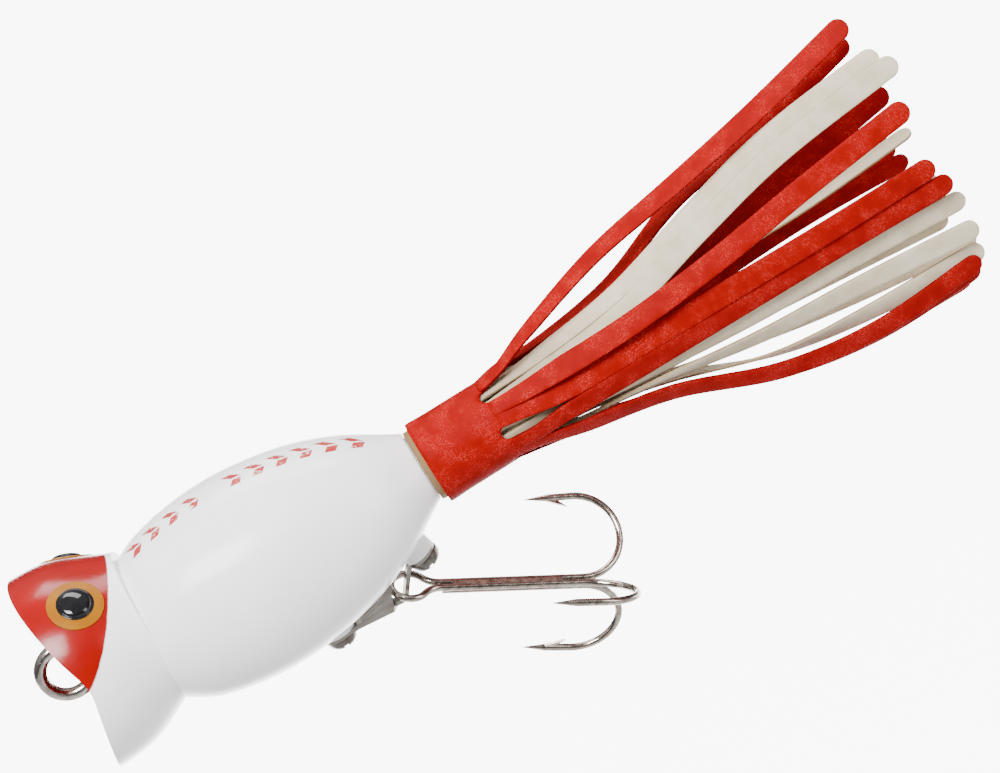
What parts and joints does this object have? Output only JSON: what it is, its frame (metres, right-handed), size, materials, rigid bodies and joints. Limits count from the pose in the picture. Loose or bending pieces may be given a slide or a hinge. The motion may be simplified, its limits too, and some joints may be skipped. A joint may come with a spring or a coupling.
{
  "type": "topwater popper lure",
  "caption": "Cupped-mouth topwater popper with a round hollow body, domed eyes, screw-eye line tie, belly hook hanger, swinging treble hook and a layered rubber skirt.",
  "frame": {"origin": "centre of the line tie's ring, in the middle of the mouth", "axes": "+X along the body towards the tail, +Z towards the back, -Y towards the lure's left side; the line tie's ring is turned about Y"},
  "size_m": [0.1099, 0.0224, 0.0486],
  "materials": {
    "body_white": "glossy white, red painted upper head",
    "nickel_wire": "nickel-plated wire",
    "iris_yellow": "glossy yellow-orange",
    "pupil_black": "glossy black",
    "hanger_steel": "stamped strip, satin",
    "screw_steel": "worn plated steel",
    "hook_bronze": "tarnished hook wire",
    "braze": "matte brazed joint",
    "rubber_red": "satin red rubber",
    "rubber_white": "satin ivory rubber"
  },
  "bodies": {
    "lure": {"body_shell_left": "body_white", "body_shell_right": "body_white", "line_tie_screw_eye": "nickel_wire", "eye_iris_left": "iris_yellow", "eye_iris_right": "iris_yellow", "eye_pupil_left": "pupil_black", "eye_pupil_right": "pupil_black", "hook_hanger": "hanger_steel", "hanger_screw_front": "screw_steel", "hanger_screw_rear": "screw_steel", "skirt_outer": "rubber_red", "skirt_inner": "rubber_white"},
    "treble": {"treble_double_hook": "hook_bronze", "treble_single_hook": "hook_bronze", "treble_braze": "braze"}
  },
  "joints": [
    {"name": "treble_swing", "type": "hinge", "parent": "lure", "child": "treble", "pos_m": [0.03458, 0, -0.01248], "axis": [0, 1, 0], "range_deg": [-24, 57]}
  ]
}
